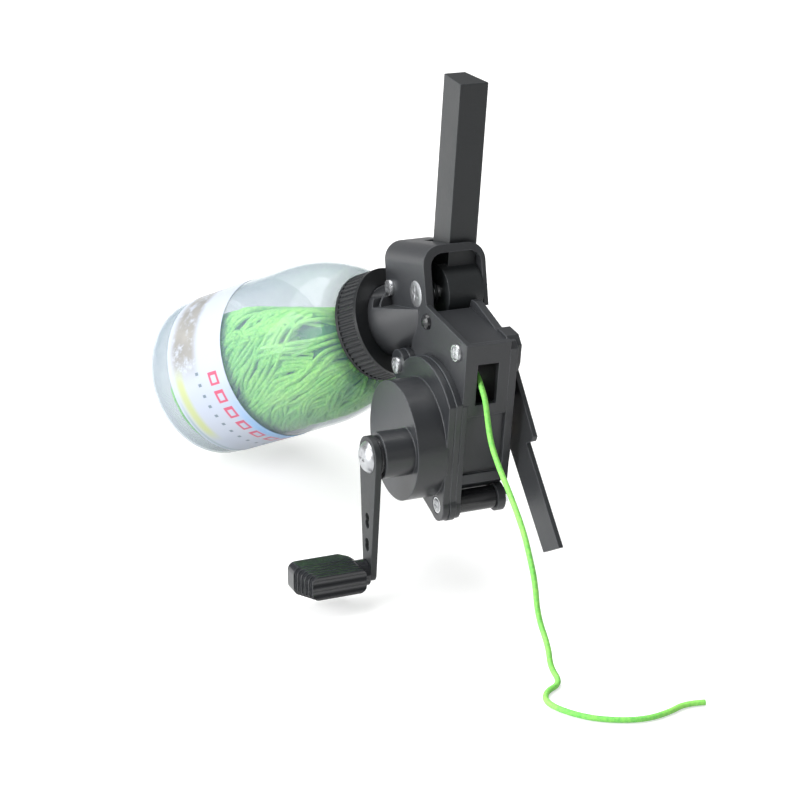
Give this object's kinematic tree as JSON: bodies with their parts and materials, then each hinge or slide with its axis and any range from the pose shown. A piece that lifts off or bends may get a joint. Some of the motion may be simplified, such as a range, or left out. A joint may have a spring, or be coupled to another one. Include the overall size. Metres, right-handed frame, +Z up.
{
  "type": "bowfishing reel",
  "caption": "Bottle reel for bowfishing: a cranked line drive behind a line window, a pinch lever and a bow bracket, with a clear bottle that holds the loose line.",
  "frame": {"origin": "centre of the bow bracket's bolt hole, on the bracket's outer face", "axes": "+X out of the bracket's face towards the bow, -Y forward in the way the line window faces, +Z up"},
  "size_m": [0.155, 0.3209, 0.221],
  "materials": {
    "black_moulding": "satin",
    "gloss_black": "gloss",
    "bright_steel": "polished",
    "gear_plastic": "satin",
    "bearing_bronze": "satin",
    "rubber": "matt",
    "bar_metal": "satin",
    "clear_bottle": "clear",
    "label_film": "satin",
    "lime_line": "matt"
  },
  "bodies": {
    "frame": {"main_frame": "black_moulding", "side_plate": "black_moulding", "gear_plate": "black_moulding", "gear_cover": "black_moulding", "body_screws": "bright_steel", "body_nuts": "bright_steel", "front_spacer": "gloss_black", "left_bearing": "bearing_bronze", "right_bearing": "bearing_bronze", "crank_bushing": "gloss_black", "pivot_screw": "bright_steel", "pivot_nut": "bright_steel", "stop_peg": "gloss_black", "line_hank": "lime_line", "line_core": "lime_line", "return_spring": "bar_metal", "neck_gasket": "rubber", "bottle": "clear_bottle", "bottle_label": "label_film", "bow_bracket": "bar_metal", "bracket_bolts": "bright_steel", "free_line": "lime_line", "inner_line": "lime_line"},
    "crank": {"crank_shaft": "bright_steel", "crank_pinion": "gear_plastic", "crank_arm": "bar_metal", "crank_screw": "bright_steel", "knob_pin": "bright_steel"},
    "knob": {"crank_knob": "gloss_black"},
    "drive": {"ring_gear": "gear_plastic", "drive_shaft": "bright_steel", "drive_wheel": "gear_plastic", "drive_tyre": "rubber"},
    "lever": {"trigger_lever": "bar_metal", "pinch_axle": "bright_steel"},
    "roller": {"pinch_roller": "rubber"},
    "collar": {"bottle_collar": "gloss_black"}
  },
  "joints": [
    {"name": "crank_turn", "type": "hinge", "parent": "frame", "child": "crank", "pos_m": [-0.0328, -0.00739, -0.01273], "axis": [1, 0, 0], "continuous": true},
    {"name": "drive_turn", "type": "hinge", "parent": "frame", "child": "drive", "pos_m": [-0.0328, 0.007, -0.0145], "axis": [1, 0, 0], "continuous": true},
    {"name": "knob_turn", "type": "hinge", "parent": "crank", "child": "knob", "pos_m": [-0.0328, -0.01352, -0.06739], "axis": [1, 0, 0], "continuous": true},
    {"name": "lever_squeeze", "type": "hinge", "parent": "frame", "child": "lever", "pos_m": [-0.0328, 0.0359, 0.0423], "axis": [-1, 0, 0], "range_deg": [0, 4.5], "stiffness_Nm_per_rad": 0.9, "springref_deg": -20.05},
    {"name": "roller_turn", "type": "hinge", "parent": "lever", "child": "roller", "pos_m": [-0.0328, 0.0262, 0.0107], "axis": [1, 0, 0], "continuous": true},
    {"name": "collar_turn", "type": "hinge", "parent": "frame", "child": "collar", "pos_m": [-0.0314, 0.062, 0.0175], "axis": [-0.4596, 0.7299, -0.506], "continuous": true}
  ],
  "couplings": [
    {"joint": "drive_turn", "follows": "crank_turn", "ratio": 0.30952}
  ]
}
